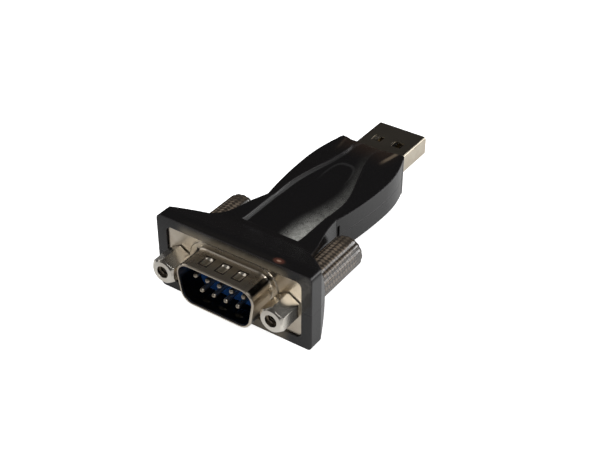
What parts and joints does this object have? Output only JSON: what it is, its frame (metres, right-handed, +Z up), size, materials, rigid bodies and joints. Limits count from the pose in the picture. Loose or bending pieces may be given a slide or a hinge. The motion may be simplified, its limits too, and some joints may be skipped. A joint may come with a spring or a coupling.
{
  "type": "usb to serial adapter",
  "caption": "A compact smoked black adapter with a USB plug at one end and a serial plug, jack nuts and clear fluted thumbscrews at the other.",
  "frame": {"origin": "midway between the threaded mouths of the two jack nuts, on the serial plug's axis", "axes": "+X across the adapter, +Y from the serial plug to the USB plug, +Z up through the wide side of the D"},
  "size_m": [0.0356, 0.0678, 0.0168],
  "materials": {
    "smoked_plastic": "smoked black moulded plastic",
    "smoked_sleeve": "smoked clear moulded plastic",
    "nickel_plate": "nickel plated steel sheet",
    "nut_metal": "bright nickel plate",
    "screw_metal": "nickel plated knurled steel",
    "usb_metal": "nickel plated steel sheet",
    "contact_metal": "plated brass pins",
    "gold_contact": "gold plated contacts",
    "blue_insulator": "deep blue moulded plastic",
    "dark_insulator": "black moulded plastic",
    "board_green": "green solder mask",
    "chip_black": "moulded epoxy",
    "capacitor_tan": "ceramic chips"
  },
  "bodies": {
    "housing": {"upper_shell": "smoked_plastic", "lower_shell": "smoked_plastic", "dsub_front_shell": "nickel_plate", "dsub_rear_shell": "nickel_plate", "dsub_front_insulator": "blue_insulator", "dsub_rear_insulator": "blue_insulator", "pin_row_upper": "contact_metal", "pin_row_lower": "contact_metal", "usb_shell": "usb_metal", "usb_insulator": "dark_insulator", "usb_contacts": "gold_contact", "circuit_board": "board_green", "interface_chip": "chip_black", "line_driver_chip": "chip_black", "crystal": "nut_metal", "capacitors": "capacitor_tan", "resistors": "chip_black"},
    "thumbscrew_left": {"thumbscrew_core_left": "screw_metal", "knob_left": "smoked_sleeve", "jack_nut_left": "nut_metal"},
    "thumbscrew_right": {"thumbscrew_core_right": "screw_metal", "knob_right": "smoked_sleeve", "jack_nut_right": "nut_metal"}
  },
  "joints": [
    {"name": "thumbscrew_left_turn", "type": "hinge", "parent": "housing", "child": "thumbscrew_left", "pos_m": [-0.01249, 0.006, 0], "axis": [0, 1, 0], "continuous": true},
    {"name": "thumbscrew_right_turn", "type": "hinge", "parent": "housing", "child": "thumbscrew_right", "pos_m": [0.01249, 0.006, 0], "axis": [0, 1, 0], "continuous": true}
  ]
}
